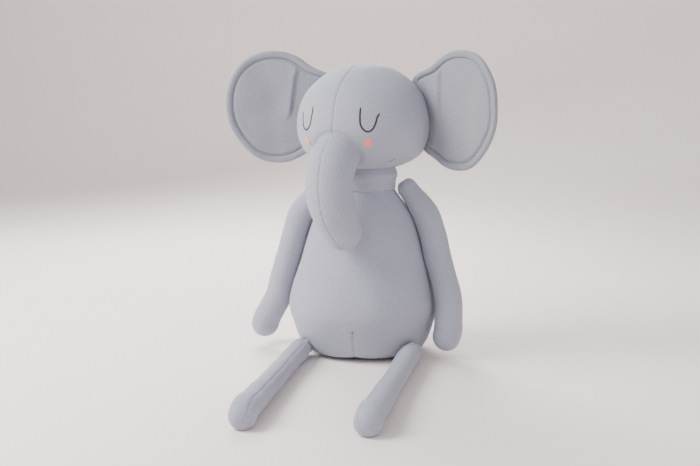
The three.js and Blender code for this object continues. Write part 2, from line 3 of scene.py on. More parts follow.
import bmesh
import bpy
import numpy as np
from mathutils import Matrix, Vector, kdtree, noise
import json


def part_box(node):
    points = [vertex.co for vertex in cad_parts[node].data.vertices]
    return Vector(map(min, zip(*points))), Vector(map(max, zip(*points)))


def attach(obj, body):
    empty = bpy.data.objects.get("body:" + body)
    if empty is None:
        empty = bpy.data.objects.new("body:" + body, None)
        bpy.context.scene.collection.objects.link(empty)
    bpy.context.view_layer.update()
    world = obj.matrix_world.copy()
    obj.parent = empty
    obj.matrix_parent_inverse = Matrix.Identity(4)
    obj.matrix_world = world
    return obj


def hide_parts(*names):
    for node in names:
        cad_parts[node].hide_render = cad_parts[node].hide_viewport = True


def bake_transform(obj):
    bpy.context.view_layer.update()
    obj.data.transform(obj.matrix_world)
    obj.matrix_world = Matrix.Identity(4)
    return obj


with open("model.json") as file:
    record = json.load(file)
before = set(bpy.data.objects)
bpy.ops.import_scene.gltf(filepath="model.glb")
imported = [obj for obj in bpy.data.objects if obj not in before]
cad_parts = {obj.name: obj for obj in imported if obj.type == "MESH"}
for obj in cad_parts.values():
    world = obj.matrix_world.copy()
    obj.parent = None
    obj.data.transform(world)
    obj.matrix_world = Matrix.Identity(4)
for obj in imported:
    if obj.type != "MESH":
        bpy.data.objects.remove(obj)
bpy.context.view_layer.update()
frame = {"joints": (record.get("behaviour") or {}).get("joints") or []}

# The points that the CAD joints turn about, in millimetres. Every shape below is worked out in
# millimetres and becomes metres when its mesh is made.
joint_at = {joint["name"]: np.array(joint["pos_m"]) * 1000 for joint in frame["joints"]}


# ---------------------------------------------------------------- camera

# A short telephoto lens level with the toy's forehead, a little to the toy's left, tipped down a
# little so that the seat and the feet are in view.
CAMERA_DISTANCE = 1.740
CAMERA_HEIGHT = 0.455
CAMERA_SIDE = 0.021
CAMERA_TURN = math.radians(9.5)
CAMERA_TILT = math.radians(81.3)

camera = bpy.data.objects.new("camera", bpy.data.cameras.new("camera"))
camera.data.lens = 57.24
camera.location = (
    CAMERA_DISTANCE * math.sin(CAMERA_TURN) - CAMERA_SIDE * math.cos(CAMERA_TURN),
    -CAMERA_DISTANCE * math.cos(CAMERA_TURN) - CAMERA_SIDE * math.sin(CAMERA_TURN),
    CAMERA_HEIGHT,
)
camera.rotation_euler = (CAMERA_TILT, 0, CAMERA_TURN)
bpy.context.scene.collection.objects.link(camera)
bpy.context.scene.camera = camera


# ---------------------------------------------------------------- torso

# The torso is a pear-shaped bag of fine grey jersey, cut as one front and two back panels, round
# with its filling. The side seams and the hand-closed back seam draw the cloth in, and a short dart
# under the belly ends in a knot.
TORSO_OUTLINE = [(66, 0), (91, 4.5), (104, 18), (114, 46), (120, 83), (101, 152), (81, 214), (50, 262)]
TORSO_DEPTH = 0.94
SIDE_SEAM_AT_SEAT = 26
DART_HEIGHT = 56
KNOT_RADIUS = 1.8
BACK_CLOSING = (36, 152)
SHOULDER_DIP = (2.5, 22)
HIP_DIP = (3.0, 16)
SEAT_LIFT = 0.3
SEWN_REACH = 6
SLACK = 2.5
FILLING_PRESSURE = 4
CLOTH_STIFFNESS = 20
BLOWING_FRAMES = 20
FILLING_DEPTH = 8
STITCH_SIDES = 6
DART_STITCH = (2.6, 1.4, 0.8)
LADDER_STITCH = (4.0, 2.6, 1.1)
FINE_STITCH = (2.2, 1.6, 0.7)
WALE = 2.4
COURSE = 2.0
# The yarn's colour, and the darker colour used for painted shade in the knit's valleys and for its dark
# flecks.
JERSEY_YARN = "BBBDCC"
JERSEY_VALLEY_SHADE_AND_FLECK = "707282"

torso_top = float(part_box("torso_front")[1].z) * 1000
torso_lean = joint_at["neck_turn"][1]


def evenly(line, count):
    """The line again, as this many points at even distances along it."""
    line = np.asarray(line, float)
    reach = np.concatenate([[0], np.cumsum(np.linalg.norm(np.diff(line, axis=0), axis=1))])
    at = np.linspace(0, reach[-1], count)
    return np.column_stack([np.interp(at, reach, line[:, k]) for k in range(line.shape[1])])


def smooth_line(landmarks, count):
    """A smooth line through the landmarks, as this many points at even distances."""
    marks = np.asarray(landmarks, float)
    marks = np.vstack([marks[0], marks, marks[-1]])
    t = np.linspace(0, 1, 30, endpoint=False)[:, None]
    runs = [
        b + ((c - a) * t + (2 * a - 5 * b + 4 * c - d) * t**2 + (3 * b - a - 3 * c + d) * t**3) / 2
        for a, b, c, d in zip(marks, marks[1:], marks[2:], marks[3:])
    ]
    return evenly(np.vstack(runs + [marks[-1:]]), count)


def pulled_in(outline, depth):
    """An outline of (radius, height) moved inwards, as cloth lies before it is filled."""
    along = np.gradient(outline, axis=0)
    along /= np.linalg.norm(along, axis=1)[:, None]
    moved = outline + depth * np.column_stack([-along[:, 1], along[:, 0]])
    moved[:, 0] = np.maximum(moved[:, 0], 0.5)
    return moved


def cloth_bag(name, rings, uv_low, uv_high, panel):
    """A closed bag from rings of points. Each face has its panel's number and its place on the cloth."""
    rows, columns = rings.shape[:2]
    points = np.vstack([rings.reshape(-1, 3), rings[0].mean(axis=0), rings[-1].mean(axis=0)]) / 1000
    faces, places, numbers = [], [], []
    for i in range(rows - 1):
        for j in range(columns):
            k = (j + 1) % columns
            low, high = i * columns, (i + 1) * columns
            faces.append((low + j, low + k, high + k, high + j))
            places += [uv_low[i, j], uv_high[i, j], uv_high[i + 1, j], uv_low[i + 1, j]]
            numbers.append(panel[i, j])
    for row, pole, turned in ((0, rows * columns, True), (rows - 1, rows * columns + 1, False)):
        for j in range(columns):
            k = (j + 1) % columns
            first, second = (k, j) if turned else (j, k)
            faces.append((row * columns + first, row * columns + second, pole))
            ends = (uv_high[row, j], uv_low[row, j]) if turned else (uv_low[row, j], uv_high[row, j])
            places += [*ends, (uv_low[row, j] + uv_high[row, j]) / 2]
            numbers.append(panel[row, j])
    mesh = bpy.data.meshes.new(name)
    mesh.from_pydata(points.tolist(), [], faces)
    layer = mesh.uv_layers.new(name="cloth")
    layer.data.foreach_set("uv", (np.array(places) / 100).ravel())
    mesh.polygons.foreach_set("material_index", numbers)
    shape = bmesh.new()
    shape.from_mesh(mesh)
    if shape.calc_volume(signed=True) < 0:
        bmesh.ops.reverse_faces(shape, faces=shape.faces)
    shape.to_mesh(mesh)
    shape.free()
    mesh.polygons.foreach_set("use_smooth", [True] * len(mesh.polygons))
    bag = bpy.data.objects.new(name, mesh)
    bpy.context.scene.collection.objects.link(bag)
    return bag


def turned_bag(name, outline, gores, shape):
    """A bag turned about an axis. Each gore is (first angle, last angle, columns, angle where its cloth
    is centred, panel), with an angle for each row, counted from the front towards the toy's left."""
    rows = len(outline)
    reach = np.concatenate([[0], np.cumsum(np.linalg.norm(np.diff(outline, axis=0), axis=1))])
    rings, lows, highs, panels = [], [], [], []
    for first, last, columns, centre, panel in gores:
        t = np.linspace(0, 1, columns + 1)
        t = t - 0.115 * np.sin(2 * np.pi * t)
        first, last = np.broadcast_to(first, rows)[:, None], np.broadcast_to(last, rows)[:, None]
        angle = first + (last - first) * t
        radius, height = outline[:, :1], outline[:, 1:] + 0 * angle
        ring = np.stack([radius * np.sin(angle), -radius * np.cos(angle), height], axis=2)
        place = np.stack([radius * (angle - centre), reach[:, None] + 0 * angle], axis=2)
        rings.append(ring[:, :-1])
        lows.append(place[:, :-1])
        highs.append(place[:, 1:])
        panels.append(np.full((rows, columns), panel))
    rings = np.concatenate(rings, axis=1)
    rings = shape(rings.reshape(-1, 3)).reshape(rings.shape)
    return cloth_bag(name, rings, *(np.concatenate(part, axis=1) for part in (lows, highs, panels)))


def near(lines):
    """A search tree of the points of some lines."""
    points = np.vstack(lines)
    tree = kdtree.KDTree(len(points))
    for number, point in enumerate(points):
        tree.insert(point, number)
    tree.balance()
    return tree


def corners(piece):
    """The piece's vertices, in millimetres."""
    found = np.empty(len(piece.data.vertices) * 3)
    piece.data.vertices.foreach_get("co", found)
    return found.reshape(-1, 3) * 1000


def set_corners(piece, points):
    piece.data.vertices.foreach_set("co", (points / 1000).ravel())
    piece.data.update()


def raise_cloth(piece, amount):
    """Moves each vertex out from the surface by its own amount, in millimetres."""
    out = np.empty(len(piece.data.vertices) * 3)
    piece.data.vertex_normals.foreach_get("vector", out)
    set_corners(piece, corners(piece) + out.reshape(-1, 3) * np.asarray(amount)[:, None])


def stuff(piece, sewn, rise):
    """Presses the bag out from inside while its sewn lines hold, then smooths the cloth. The cloth is
    heavy for this pressure, so it moves little: 0.1 mm on average on the torso, and less elsewhere."""
    tree = near(sewn)
    rest = corners(piece)
    group = piece.vertex_groups.new(name="sewn")
    for number, point in enumerate(rest):
        hold = math.exp(-((tree.find(point)[2] / SEWN_REACH) ** 2))
        group.add([number], hold, "REPLACE")
    cloth = piece.modifiers.new("filling", "CLOTH")
    cloth.settings.use_pressure = True
    cloth.settings.uniform_pressure_force = FILLING_PRESSURE
    cloth.settings.effector_weights.gravity = 0
    cloth.settings.vertex_group_mass = "sewn"
    cloth.settings.tension_stiffness = CLOTH_STIFFNESS
    cloth.settings.compression_stiffness = CLOTH_STIFFNESS
    cloth.point_cache.frame_start = 1
    cloth.point_cache.frame_end = BLOWING_FRAMES
    for step in range(1, BLOWING_FRAMES + 1):
        bpy.context.scene.frame_set(step)
    blown = piece.evaluated_get(bpy.context.evaluated_depsgraph_get())
    moved = np.empty(rest.size)
    blown.data.vertices.foreach_get("co", moved)
    piece.modifiers.remove(cloth)
    piece.vertex_groups.clear()
    move = moved.reshape(-1, 3) * 1000 - rest
    far = np.linalg.norm(move, axis=1)
    set_corners(piece, rest + move * np.minimum(1, rise / np.maximum(far, 1e-6))[:, None])
    refine(piece, 2)


def rest_on_seat(piece):
    """Flattens the cloth where it lies on the seat."""
    resting = corners(piece)
    resting[:, 2] = np.maximum(resting[:, 2], SEAT_LIFT)
    set_corners(piece, resting)


def refine(piece, levels):
    """Subdivides the cloth smoothly and keeps the result as the piece's mesh."""
    finer = piece.modifiers.new("finer", "SUBSURF")
    finer.levels = levels
    graph = bpy.context.evaluated_depsgraph_get()
    mesh = bpy.data.meshes.new_from_object(
        piece.evaluated_get(graph), preserve_all_data_layers=True, depsgraph=graph
    )
    piece.modifiers.clear()
    piece.data = mesh


def lumps(piece, height, size, seed):
    """The soft unevenness of fibre filling under the cloth."""
    offset = Vector((seed, 2 * seed, 3 * seed))
    raise_cloth(piece, [height * noise.noise(Vector(point) / size + offset) for point in corners(piece)])


def sew(piece, line, depth, width, pucker=0.0, spacing=7.0):
    """Draws the cloth in along a line of sewing, with small puckers across it."""
    line = evenly(line, max(int(np.linalg.norm(np.diff(line, axis=0), axis=1).sum()), 2))
    tree = near([line])
    found = np.array([tree.find(point)[1:] for point in corners(piece)])
    number, distance = found[:, 0] / spacing, found[:, 1]
    wave = np.sin(2 * np.pi * number) + 0.6 * np.sin(3.7 * number + 1)
    groove = -depth * np.exp(-((distance / width) ** 2))
    raise_cloth(piece, groove + pucker * wave * np.exp(-distance / (2.2 * width)))


def cut_panels(piece, names, material):
    """Cuts the finished bag along its seams into its panels, which stand for the CAD nodes."""
    panels = []
    for number, node in enumerate(names):
        shape = bmesh.new()
        shape.from_mesh(piece.data)
        bmesh.ops.delete(shape, geom=[f for f in shape.faces if f.material_index != number], context="FACES")
        for face in shape.faces:
            face.material_index = 0
        mesh = bpy.data.meshes.new(f"{node}_jersey")
        shape.to_mesh(mesh)
        shape.free()
        mesh.materials.append(material)
        panel = bpy.data.objects.new(f"{node}_jersey", mesh)
        bpy.context.scene.collection.objects.link(panel)
        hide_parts(node)
        panels.append(panel)
    bpy.data.objects.remove(piece)
    return panels


def linear(colour):
    """An sRGB hex colour as linear red, green, blue and alpha."""
    parts = [int(colour[k:k + 2], 16) / 255 for k in (0, 2, 4)]
    return [p / 12.92 if p <= 0.04045 else ((p + 0.055) / 1.055) ** 2.4 for p in parts] + [1]


def add_node(tree, kind, inputs, **settings):
    """Adds a node with its settings, and sets or links its inputs."""
    node = tree.nodes.new("ShaderNode" + kind)
    for key, value in settings.items():
        setattr(node, key, value)
    for key, value in inputs.items():
        if isinstance(value, bpy.types.NodeSocket):
            tree.links.new(value, node.inputs[key])
        else:
            node.inputs[key].default_value = value
    return node


def new_material(name):
    material = bpy.data.materials.new(name)
    material.use_nodes = True
    material.node_tree.nodes.clear()
    return material, material.node_tree


def jersey(name, yarn, shade):
    """Weft-knitted melange cotton jersey: upright wales of small V stitches, flecked, dull and fuzzy.
    The colour runs to the darker shade colour down in the knit's valleys, which is painted shade, and
    with the melange's flecks and a slow mottle, which are the yarn's own. The real wales are about 1 mm
    apart; they are drawn about twice as coarse so that they show."""
    material, tree = new_material(name)
    cloth = add_node(tree, "UVMap", {}, uv_map="cloth").outputs[0]
    split = add_node(tree, "SeparateXYZ", {0: cloth})
    across = add_node(tree, "Math", {0: split.outputs[0], 1: 100 / WALE}, operation="MULTIPLY").outputs[0]
    up = add_node(tree, "Math", {0: split.outputs[1], 1: 100 / COURSE}, operation="MULTIPLY").outputs[0]
    wale = add_node(tree, "Math", {0: across, 1: 0.5}, operation="PINGPONG").outputs[0]
    slant = add_node(tree, "Math", {0: wale, 1: 1.5, 2: up}, operation="MULTIPLY_ADD").outputs[0]
    loop = add_node(tree, "Math", {0: slant, 1: 0.5}, operation="PINGPONG").outputs[0]
    twice = add_node(tree, "Math", {0: across, 1: 2.0}, operation="MULTIPLY").outputs[0]
    leg = add_node(tree, "Math", {0: twice, 1: 0.5}, operation="PINGPONG").outputs[0]
    ribs = add_node(tree, "Math", {0: wale, 1: 0.9, 2: loop}, operation="MULTIPLY_ADD").outputs[0]
    relief = add_node(tree, "Math", {0: leg, 1: 0.6, 2: ribs}, operation="MULTIPLY_ADD").outputs[0]
    fuzz = add_node(tree, "TexNoise", {"Vector": cloth, "Scale": 90.0, "Detail": 3.0}).outputs[0]
    height = add_node(tree, "Math", {0: fuzz, 1: 0.7, 2: relief}, operation="MULTIPLY_ADD").outputs[0]
    bump = add_node(tree, "Bump", {"Height": height, "Strength": 0.6, "Distance": 0.0008}).outputs[0]
    flecks = add_node(tree, "TexNoise", {"Vector": cloth, "Scale": 38.0, "Detail": 2.0}).outputs[0]
    worn = add_node(tree, "TexNoise", {"Vector": cloth, "Scale": 1.6, "Detail": 4.0}).outputs[0]
    melange = add_node(tree, "Math", {0: flecks, 1: 1.4, 2: height}, operation="MULTIPLY_ADD").outputs[0]
    mottle = add_node(tree, "Math", {0: worn, 1: 0.5, 2: melange}, operation="MULTIPLY_ADD").outputs[0]
    # Painted shade: the mix runs to the darker colour where the knit relief is low, and also with the real
    # flecks and mottle.
    light = add_node(tree, "MapRange", {0: mottle, 1: 0.4, 2: 3.0, 3: 0.0, 4: 1.0}).outputs[0]
    colour = add_node(
        tree, "Mix", {0: light, 6: linear(shade), 7: linear(yarn)}, data_type="RGBA"
    ).outputs[2]
    shader = add_node(tree, "BsdfPrincipled", {
        "Base Color": colour, "Normal": bump, "Roughness": 0.93, "Specular IOR Level": 0.25,
        "Sheen Weight": 0.35, "Sheen Roughness": 0.45, "Sheen Tint": linear("E4E6F0"),
    })
    add_node(tree, "OutputMaterial", {0: shader.outputs[0]})
    return material


def thread(name, colour):
    """Spun sewing thread: two plies twisted together, which show as slanting light and dark. The dark slants
    are painted shade in the grooves of the twist, under a bump that follows them.
    """
    material, tree = new_material(name)
    cloth = add_node(tree, "UVMap", {}, uv_map="cloth").outputs[0]
    plies = add_node(
        tree, "TexWave", {"Vector": cloth, "Scale": 60.0, "Distortion": 1.0}, bands_direction="DIAGONAL"
    ).outputs[1]
    bump = add_node(tree, "Bump", {"Height": plies, "Strength": 0.6, "Distance": 0.0003}).outputs[0]
    # Painted shade: the colour is darker in the grooves between the plies.
    dark = [part * 0.6 for part in linear(colour)[:3]] + [1]
    shade = add_node(
        tree, "Mix", {0: plies, 6: dark, 7: linear(colour)}, data_type="RGBA"
    ).outputs[2]
    shader = add_node(tree, "BsdfPrincipled", {
        "Base Color": shade, "Normal": bump, "Roughness": 0.6, "Sheen Weight": 0.2,
    })
    add_node(tree, "OutputMaterial", {0: shader.outputs[0]})
    return material


def fibre(name):
    """Siliconised polyester fibre: matt white and cloudy."""
    material, tree = new_material(name)
    place = add_node(tree, "TexCoord", {}).outputs["Object"]
    cloud = add_node(
        tree, "TexNoise", {"Vector": place, "Scale": 160.0, "Detail": 8.0, "Roughness": 0.75}
    ).outputs[0]
    bump = add_node(tree, "Bump", {"Height": cloud, "Strength": 0.8, "Distance": 0.002}).outputs[0]
    shade = add_node(
        tree, "Mix", {0: cloud, 6: linear("D9D6CE"), 7: linear("FBFAF6")}, data_type="RGBA"
    ).outputs[2]
    shader = add_node(tree, "BsdfPrincipled", {
        "Base Color": shade, "Normal": bump, "Roughness": 1.0, "Sheen Weight": 0.4,
    })
    add_node(tree, "OutputMaterial", {0: shader.outputs[0]})
    return material


def filling(node, outline, shape, body, depth=FILLING_DEPTH):
    """The loose fibre inside a cover, which shows only if a seam opens."""
    wad = turned_bag(f"{node}_fibre", pulled_in(outline, depth), [(0, 2 * math.pi, 40, math.pi, 0)], shape)
    wad.data.materials.append(white_fibre)
    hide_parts(node)
    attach(wad, body)


def on_cloth(cover, point):
    """The nearest place on a cover and the direction out of it, in millimetres."""
    _, place, out, _ = cover.closest_point_on_mesh(Vector(point) / 1000)
    return np.array(place) * 1000, np.array(out)


def stitches(name, node, cover, line, long, gap, thick, material):
    """A row of small stitches along a line on a cover."""
    line = evenly(line, max(int(np.linalg.norm(np.diff(line, axis=0), axis=1).sum() * 2), 2))
    step = np.linalg.norm(np.diff(line, axis=0), axis=1).mean()
    every = max(int(round((long + gap) / step)), 1)
    bow = np.linspace(0, np.pi, 7)
    turn = np.linspace(0, 2 * np.pi, STITCH_SIDES, endpoint=False)
    points, faces, places = [], [], []
    for number in range(every // 2, len(line) - every // 2, every):
        place, out = on_cloth(cover, line[number])
        along = line[min(number + 2, len(line) - 1)] - line[number - 2]
        along -= out * (along @ out)
        along /= np.linalg.norm(along)
        aside = np.cross(out, along)
        start = len(points)
        for b in bow:
            middle = place - along * math.cos(b) * long / 2 + out * thick * (0.75 * math.sin(b) - 0.45)
            wide = thick / 2 * max(math.sin(b) ** 0.4, 0.05)
            for a in turn:
                points.append(middle + wide * (aside * math.cos(a) + out * math.sin(a)))
        for i in range(len(bow) - 1):
            low, high = start + i * STITCH_SIDES, start + (i + 1) * STITCH_SIDES
            for j in range(STITCH_SIDES):
                k = (j + 1) % STITCH_SIDES
                faces.append((low + j, low + k, high + k, high + j))
                places += [(i, j), (i, j + 1), (i + 1, j + 1), (i + 1, j)]
    mesh = bpy.data.meshes.new(name)
    mesh.from_pydata((np.array(points) / 1000).tolist(), [], faces)
    mesh.uv_layers.new(name="cloth").data.foreach_set("uv", (np.array(places, float) / 100).ravel())
    mesh.polygons.foreach_set("use_smooth", [True] * len(faces))
    mesh.materials.append(material)
    row = bpy.data.objects.new(name, mesh)
    bpy.context.scene.collection.objects.link(row)
    if node:
        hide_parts(node)
    return row


def torso_shape(points):
    """The torso is a little shallower than it is wide, and leans back towards the neck."""
    moved = points.copy()
    rise = np.maximum(points[:, 2], 0) / joint_at["neck_turn"][2]
    moved[:, 1] = points[:, 1] * TORSO_DEPTH + torso_lean * rise**2
    return moved


def side_seam_angle(outline):
    """Where the side seam crosses each row: it leans from behind the seat's middle to the neck's side."""
    height = outline[:, 1]
    seam = SIDE_SEAM_AT_SEAT + (torso_lean - SIDE_SEAM_AT_SEAT) * height / torso_top
    lean = torso_lean * (np.maximum(height, 0) / joint_at["neck_turn"][2]) ** 2
    back = (seam - lean) / TORSO_DEPTH / np.maximum(outline[:, 0], 1)
    return np.arccos(-np.clip(back, -0.95, 0.95))


def meridian(outline, angle, shape, low=-1e9, high=1e9):
    """A line up a turned bag at one angle, or at an angle for each row, between two heights."""
    angle = np.broadcast_to(angle, len(outline))
    line = np.column_stack([outline[:, 0] * np.sin(angle), -outline[:, 0] * np.cos(angle), outline[:, 1]])
    return shape(line[(outline[:, 1] >= low) & (outline[:, 1] <= high)])


flank = smooth_line(TORSO_OUTLINE, 62)
seat = np.column_stack([np.linspace(4, 62, 9), np.zeros(9)])
mouth = np.array([[44, torso_top + 1], [30, torso_top + 1.5], [10, torso_top + 1.5]])
torso_outline = np.vstack([seat, flank, mouth])
slack_outline = pulled_in(torso_outline, SLACK)
slack_outline[:, 1] = np.maximum(slack_outline[:, 1], 0.4)
seam_angle = side_seam_angle(slack_outline)
grey_jersey = jersey("knitted_cotton_jersey_grey", JERSEY_YARN, JERSEY_VALLEY_SHADE_AND_FLECK)
grey_thread = thread("spun_polyester_thread_grey", "6F7280")
white_fibre = fibre("polyester_fibre_filling_white")

torso = turned_bag("torso", slack_outline, [
    (-seam_angle, 0, 22, 0, 0),
    (0, seam_angle, 22, 0, 0),
    (seam_angle, math.pi, 20, math.pi, 1),
    (math.pi, 2 * math.pi - seam_angle, 20, math.pi, 2),
], torso_shape)
left_seam = meridian(slack_outline, seam_angle, torso_shape)
right_seam = left_seam * (-1, 1, 1)
back_seam = meridian(slack_outline, math.pi, torso_shape)
dart = meridian(slack_outline, 0, torso_shape, 1, DART_HEIGHT)
stuff(torso, [left_seam, right_seam, back_seam], SLACK)
lumps(torso, 1.6, 55, 1)
for seam in (left_seam, right_seam, back_seam):
    sew(torso, seam, 1.3, 2.6, 0.25)
sew(torso, dart, 1.1, 2.0, 0.2, 6)
for joint, dip, reach in (
    ("arm_left_swing", *SHOULDER_DIP), ("arm_right_swing", *SHOULDER_DIP),
    ("leg_left_raise", *HIP_DIP), ("leg_right_raise", *HIP_DIP),
):
    away = np.linalg.norm(corners(torso) - joint_at[joint], axis=1)
    raise_cloth(torso, -dip * np.exp(-((away / reach) ** 2)))
rest_on_seat(torso)

dart_row = stitches("belly_dart_stitches", "belly_dart_thread", torso, dart, *DART_STITCH, grey_thread)
back_row = stitches(
    "back_closing_stitches", "back_closing_thread", torso,
    meridian(slack_outline, math.pi, torso_shape, *BACK_CLOSING), *LADDER_STITCH, grey_thread,
)
knot_at, _ = on_cloth(torso, dart[-1])
round_knot = np.linspace(3.1, 0.1, 9)
knot_outline = KNOT_RADIUS * np.column_stack([np.sin(round_knot), np.cos(round_knot)])
knot = turned_bag(
    "belly_dart_knot", knot_outline, [(0, 2 * math.pi, 12, 0, 0)], lambda points: points + knot_at
)
knot.data.materials.append(grey_thread)
for row in (dart_row, back_row, knot):
    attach(row, "torso")
filling("torso_filling", torso_outline, torso_shape, "torso")
torso_panels = ["torso_front", "torso_back_left", "torso_back_right"]
for panel in cut_panels(torso, torso_panels, grey_jersey):
    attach(panel, "torso")


# ---------------------------------------------------------------- neck

# A short band of the same jersey between the torso and the head, seamed to both. It is packed less
# tightly than they are, so it creases round.
NECK_RADIUS = 52
NECK_FROM = -19
NECK_TO = 26
NECK_CREASE = 1.5
NECK_FILLING_DEPTH = 12

neck_at = joint_at["neck_turn"]
nod = next(joint["axis"] for joint in frame["joints"] if joint["name"] == "head_nod")
head_turn = math.atan2(nod[1], nod[0])


def head_frame(points):
    """From the head's own frame, at the middle of the neck and facing forwards, to the toy's."""
    c, s = math.cos(head_turn), math.sin(head_turn)
    across, along, up = points.T
    return np.column_stack([across * c - along * s, across * s + along * c, up]) + neck_at


heights = np.linspace(NECK_FROM, NECK_TO, 34)
neck_radii = np.sqrt(NECK_RADIUS**2 - heights**2)
neck_radii += NECK_CREASE * np.sin(heights / 4.1) * np.exp(-((heights / 15) ** 2)) - 0.6
neck_outline = np.vstack([[(8, NECK_FROM)], np.column_stack([neck_radii, heights]), [(8, NECK_TO)]])
neck = turned_bag("neck_band_jersey", neck_outline, [(0, 2 * math.pi, 72, math.pi, 0)], head_frame)
lumps(neck, 1.2, 22, 2)
neck.data.materials.append(grey_jersey)
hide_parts("neck_band")
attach(neck, "neck")
filling("neck_filling", neck_outline, head_frame, "neck", NECK_FILLING_DEPTH)


# ---------------------------------------------------------------- head

# A firmly filled round head of two face panels and one back panel. The seams run up the middle of
# the face, and over the crown from ear to ear.
HEAD_OUTLINE = [(52.8, 15), (76, 25), (96, 43), (107, 82), (92, 134), (46, 171), (1, 178)]
FACE_DEPTH = 1.06
NAPE_DEPTH = 0.95
EAR_SEAM = 20
JOWL_HEIGHT = 43
CROWN_FLAT = 12
FACE_ROW = (84, 170)
TRUNK_ROOT_RADIUS = 37


def eased(t):
    """A smooth step from 0 to 1."""
    t = np.clip(t, 0, 1)
    return t * t * (3 - 2 * t)


def head_shape(points):
    """The head is deeper at the face than at the nape, but round where it meets the neck."""
    moved = points.copy()
    spread = eased((points[:, 2] - HEAD_OUTLINE[0][1]) / (JOWL_HEIGHT - HEAD_OUTLINE[0][1]))
    moved[:, 1] *= 1 + np.where(points[:, 1] < 0, FACE_DEPTH - 1, NAPE_DEPTH - 1) * spread
    return head_frame(moved)


head_outline = np.vstack([[(12, 18), (32, 17), (46, 15.6)], smooth_line(HEAD_OUTLINE, 58)])
slack_head = pulled_in(head_outline, SLACK)
ear_angle = np.arccos(-np.clip(EAR_SEAM / NAPE_DEPTH / np.maximum(slack_head[:, 0], 1), -0.95, 0.95))
head = turned_bag("head", slack_head, [
    (0, ear_angle, 26, 0, 0),
    (ear_angle, 2 * math.pi - ear_angle, 40, math.pi, 2),
    (2 * math.pi - ear_angle, 2 * math.pi, 26, 2 * math.pi, 1),
], head_shape)
face_seam = meridian(slack_head, 0, head_shape)
ear_seams = [meridian(slack_head, side * ear_angle, head_shape) for side in (1, -1)]
stuff(head, [face_seam, *ear_seams], SLACK)
lumps(head, 1.3, 60, 3)
sew(head, face_seam, 1.1, 2.2, 0.28, 5)
for seam in ear_seams:
    sew(head, seam, 1.0, 2.4, 0.25)

# The seams meet flat on the crown.
crown = corners(head)
from_top = np.linalg.norm(crown[:, :2] - neck_at[:2], axis=1)
on_top = (from_top < CROWN_FLAT) & (crown[:, 2] > neck_at[2] + EAR_SEAM)
level = crown[on_top & (from_top > CROWN_FLAT - 2), 2].mean()
crown[on_top, 2] += (level - crown[on_top, 2]) * (1 - eased(from_top[on_top] / CROWN_FLAT - 0.2))
set_corners(head, crown)

# The face is drawn in round the base of the trunk, which is sewn on there.
trunk_at = joint_at["trunk_lift"]
beyond = np.linalg.norm(corners(head) - trunk_at, axis=1) - TRUNK_ROOT_RADIUS
raise_cloth(head, np.where(beyond > -4, -1.8 * np.exp(-((beyond / 3.5) ** 2)), -4.0))

face_row = stitches(
    "face_seam_stitches", "face_seam_thread", head,
    meridian(slack_head, 0, head_shape, *FACE_ROW), *FINE_STITCH, grey_thread,
)
filling("head_filling", head_outline, head_shape, "head")


# ---------------------------------------------------------------- eyes, smile and cheeks

# Closed eyes and the two corners of a smile, embroidered in black thread, and two round blushes of
# coral felt glued on below the eyes.
EYE_ANGLE = math.radians(30.5)
EYE_HEIGHT = 97
EYE_STITCH = [(-13, 17), (-14, 2), (-12, -11), (-4, -19), (5, -16), (10.5, -5), (12.5, 2), (17, 8)]
EYE_WIDTH = 3.0
CHEEK_ANGLE = math.radians(30)
CHEEK_HEIGHT = 60
CHEEK_RADIUS = 7
CHEEK_PROFILE = [
    (0.1, -0.2), (0.7, -0.2), (0.96, -0.1), (1, 0.3), (0.97, 0.7), (0.9, 0.95), (0.6, 1.05), (0.1, 1.1),
]
SMILE_ANGLE = math.radians(57)
SMILE_HEIGHT = 30
SMILE_LENGTH = 9
SMILE_WIDTH = 1.9
HEAD_RADIUS = HEAD_OUTLINE[3][0]
JOWL_RADIUS = HEAD_OUTLINE[2][0]


def face_point(angle, height):
    """A place on the face by its angle from the middle and its height over the neck's middle."""
    rise = smooth_line(HEAD_OUTLINE, 200)
    radius = float(np.interp(height, rise[:, 1], rise[:, 0]))
    return head_shape(np.array([[radius * math.sin(angle), -radius * math.cos(angle), height]]))[0]


def embroidered(name, node, line, width, material):
    """A raised line of satin stitch that follows the cloth and thins at its ends."""
    line = evenly(line, max(int(np.linalg.norm(np.diff(line, axis=0), axis=1).sum() * 2), 5))
    turn = np.linspace(0, 2 * np.pi, 10, endpoint=False)
    rings = []
    for number, point in enumerate(line):
        place, out = on_cloth(head, point)
        along = line[min(number + 1, len(line) - 1)] - line[max(number - 1, 0)]
        along -= out * (along @ out)
        along /= np.linalg.norm(along)
        aside = np.cross(out, along)
        end = min(number, len(line) - 1 - number)
        wide = width / 2 * min(1, 0.45 + end / 9) * (0.93 + 0.07 * math.cos(number * 1.4))
        rings.append([place + wide * (aside * math.cos(a) + 0.42 * out * math.sin(a)) for a in turn])
    rings = np.array(rings)
    rows = np.arange(len(rings))[:, None] * 0.5 + 0 * turn
    place = np.stack([width * turn / 2 + 0 * rows, rows], axis=2)
    piece = cloth_bag(name, rings, place, place + (width * 0.3, 0), np.zeros(rows.shape, int))
    piece.data.materials.append(material)
    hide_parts(node)
    return piece


